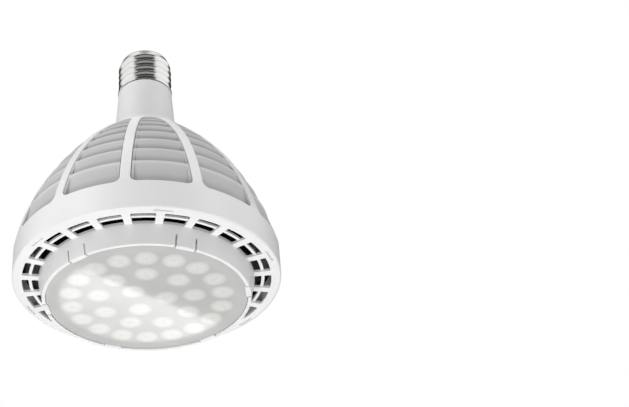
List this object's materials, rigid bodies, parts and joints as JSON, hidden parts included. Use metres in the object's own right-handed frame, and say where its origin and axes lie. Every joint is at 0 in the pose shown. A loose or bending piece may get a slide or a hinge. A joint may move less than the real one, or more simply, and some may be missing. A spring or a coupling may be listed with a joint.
{
  "type": "led spotlight bulb",
  "caption": "Reflector-shaped LED spotlight lamp with a screw cap, a louvred dome behind a ribbed cage, a slotted vent ring and a flat multi-lens face.",
  "frame": {"origin": "centre of the lens face, at the level of the collar's rim that the lamp stands on", "axes": "+Z along the lamp's axis towards the screw cap; -Y is the side the picture shows"},
  "size_m": [0.12, 0.12, 0.143],
  "materials": {
    "white_plastic": "satin",
    "neck_plastic": "satin",
    "liner_plastic": "matt",
    "clear_plastic": "clear",
    "nickel": "plated",
    "cap_black": "matt",
    "contact_metal": "soldered",
    "board_white": "white solder mask",
    "phosphor": "matt",
    "screw_steel": "zinc-plated",
    "sink_aluminium": "die-cast",
    "fan_black": "matt",
    "bearing_bronze": "sintered",
    "motor_steel": "laminated",
    "magnet_grey": "moulded magnet",
    "circuit_green": "solder mask",
    "winding_tape": "taped winding",
    "can_sleeve": "sleeved",
    "copper": "enamelled wire",
    "package_black": "moulded",
    "lead_red": "insulated wire",
    "lead_black": "insulated wire"
  },
  "bodies": {
    "lamp": {"cage_shell": "white_plastic", "front_cover": "white_plastic", "neck_housing": "neck_plastic", "driver_cover": "neck_plastic", "louvre_liner": "liner_plastic", "lens_plate": "clear_plastic", "screw_shell": "nickel", "cap_insulator": "cap_black", "centre_contact": "contact_metal", "led_board": "board_white", "led_chips": "phosphor", "board_screws": "screw_steel", "cover_screws": "screw_steel", "fan_screws": "screw_steel", "heat_sink": "sink_aluminium", "fan_frame": "fan_black", "fan_bearing": "bearing_bronze", "fan_stator": "motor_steel", "driver_board": "circuit_green", "transformer": "winding_tape", "input_capacitor": "can_sleeve", "output_capacitor": "can_sleeve", "line_choke": "copper", "bridge_rectifier": "package_black", "switching_transistor": "package_black", "live_lead": "lead_red", "led_leads": "lead_red", "neutral_lead": "lead_black", "fan_leads": "lead_black"},
    "fan": {"fan_rotor": "fan_black", "fan_shaft": "motor_steel", "fan_magnet": "magnet_grey"}
  },
  "joints": [
    {"name": "fan_spin", "type": "hinge", "parent": "lamp", "child": "fan", "pos_m": [0, 0, 0.0431], "axis": [0, 0, 1], "continuous": true}
  ]
}
